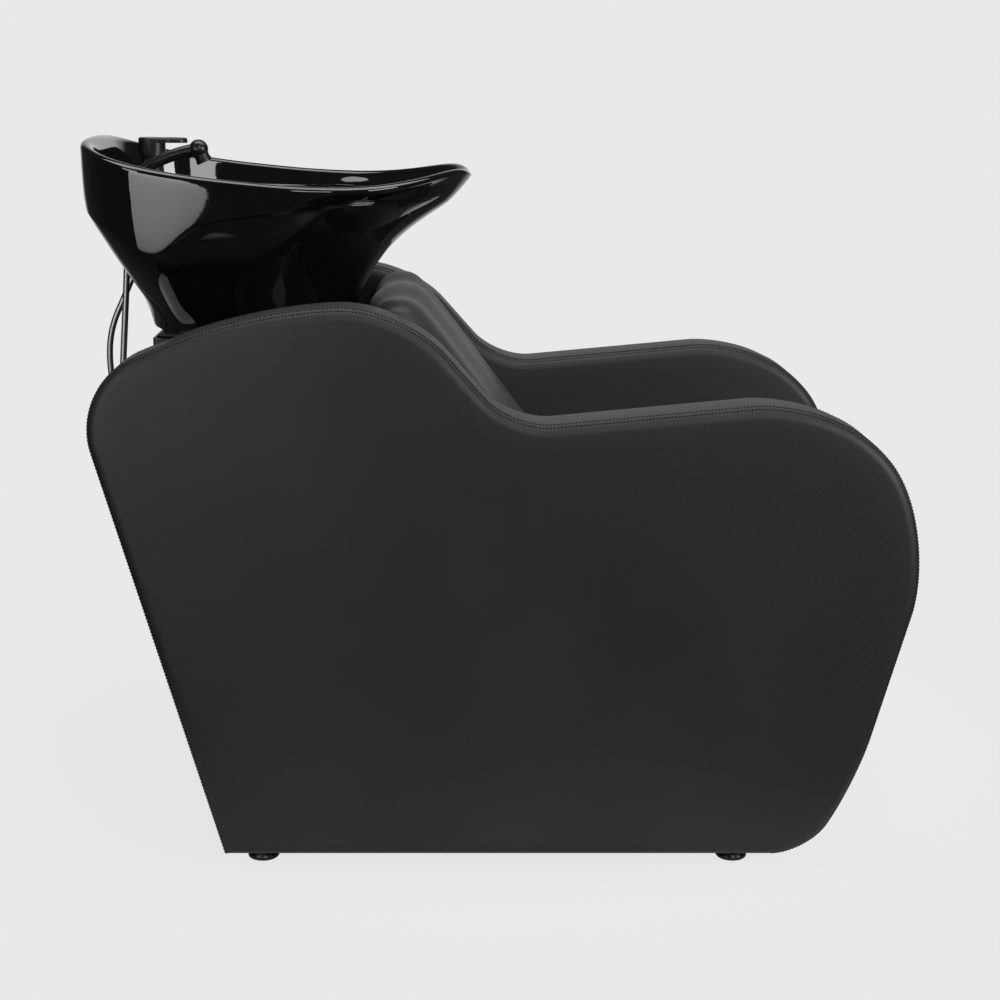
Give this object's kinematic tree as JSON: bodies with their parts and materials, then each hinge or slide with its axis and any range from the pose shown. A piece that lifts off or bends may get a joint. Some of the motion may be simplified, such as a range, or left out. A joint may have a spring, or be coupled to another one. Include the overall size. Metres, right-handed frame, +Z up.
{
  "type": "salon backwash unit",
  "caption": "Salon backwash unit: tilting black ceramic wash bowl with lever tap and hand shower behind a reclined upholstered seat between thick padded side panels",
  "frame": {"origin": "centre of the footprint, on the floor", "axes": "+X to the sitter's front, +Y to the sitter's left, +Z up"},
  "size_m": [1.113, 0.65, 0.9494],
  "materials": {
    "charcoal_vinyl": "matte charcoal upholstery vinyl over foam",
    "seat_vinyl": "softer charcoal vinyl over foam",
    "plywood": "raw birch plywood and rail timber",
    "black_ceramic": "jet black high-gloss glaze",
    "black_steel": "black powder coat",
    "plated_steel": "zinc-plated steel",
    "black_plastic": "moulded black plastic",
    "gloss_black": "gloss black moulding",
    "black_rubber": "black rubber",
    "steel_chrome": "bright chrome",
    "plain_brass": "bare brass",
    "nylon": "natural nylon",
    "red_mark": "red",
    "silver_hose": "smooth silver-grey hose"
  },
  "bodies": {
    "base": {"right_side_core": "plywood", "left_side_core": "plywood", "right_side_cover": "charcoal_vinyl", "left_side_cover": "charcoal_vinyl", "glides": "black_plastic", "glide_studs": "plated_steel", "seat_board": "plywood", "seat_cushion": "seat_vinyl", "backrest_board": "plywood", "backrest_cushion": "seat_vinyl", "front_apron": "charcoal_vinyl", "front_seat_rail": "plywood", "rear_seat_rail": "plywood", "back_top_rail": "plywood", "front_stretcher": "plywood", "base_board": "plywood", "bowl_beam": "black_steel", "corner_brackets": "plated_steel", "panel_screws": "plated_steel", "rail_screws": "plated_steel", "insert_nuts": "plated_steel", "tilt_base": "black_steel", "tilt_base_bolts": "plated_steel", "tilt_bumper": "black_rubber", "tilt_shroud": "black_plastic", "pivot_bolts": "plated_steel", "pivot_nuts": "plated_steel", "friction_washers": "nylon"},
    "bowl_unit": {"bowl": "black_ceramic", "bowl_pad": "black_rubber", "cradle": "black_steel", "cradle_screws": "plated_steel", "pivot_bushes": "nylon", "drain_flange": "steel_chrome", "drain_seal": "black_rubber", "drain_nut": "black_plastic", "waste_tailpiece": "black_plastic", "mixer_body": "gloss_black", "mixer_seal": "black_rubber", "mixer_nut": "plain_brass", "mixer_cartridge": "black_plastic", "mixer_inlets": "plain_brass", "hose_nipple": "plain_brass", "shower_holder": "gloss_black", "holder_nut": "black_plastic", "shower_hose_loop": "silver_hose"},
    "tap_swivel": {"mixer_swivel": "plain_brass"},
    "tap_lever": {"mixer_lever": "gloss_black", "lever_indicator": "red_mark"},
    "shower_hose": {"shower_hose_upper": "silver_hose", "shower_cone_nut": "gloss_black"},
    "hand_shower": {"shower_handle": "gloss_black", "shower_nozzle": "gloss_black", "spray_plate": "black_rubber"},
    "strainer": {"hair_strainer": "steel_chrome"}
  },
  "joints": [
    {"name": "bowl_tilt", "type": "hinge", "parent": "base", "child": "bowl_unit", "pos_m": [-0.4275, 0, 0.66], "axis": [0, 1, 0], "range_deg": [-8, 0]},
    {"name": "lever_turn", "type": "hinge", "parent": "bowl_unit", "child": "tap_swivel", "pos_m": [-0.482, 0.045, 0.915], "axis": [0, 0, 1], "range_deg": [-45, 45]},
    {"name": "lever_lift", "type": "hinge", "parent": "tap_swivel", "child": "tap_lever", "pos_m": [-0.482, 0.045, 0.922], "axis": [0, -1, 0], "range_deg": [0, 18]},
    {"name": "shower_pull", "type": "slide", "parent": "bowl_unit", "child": "shower_hose", "axis": [0.0567, 0, 0.9984], "range_m": [0, 0.25]},
    {"name": "shower_twist", "type": "hinge", "parent": "shower_hose", "child": "hand_shower", "pos_m": [-0.4998, -0.06, 0.876], "axis": [0.0567, 0, 0.9984], "range_deg": [-40, 40]},
    {"name": "strainer_lift", "type": "slide", "parent": "bowl_unit", "child": "strainer", "axis": [0, 0, 1], "range_m": [0, 0.12]}
  ]
}
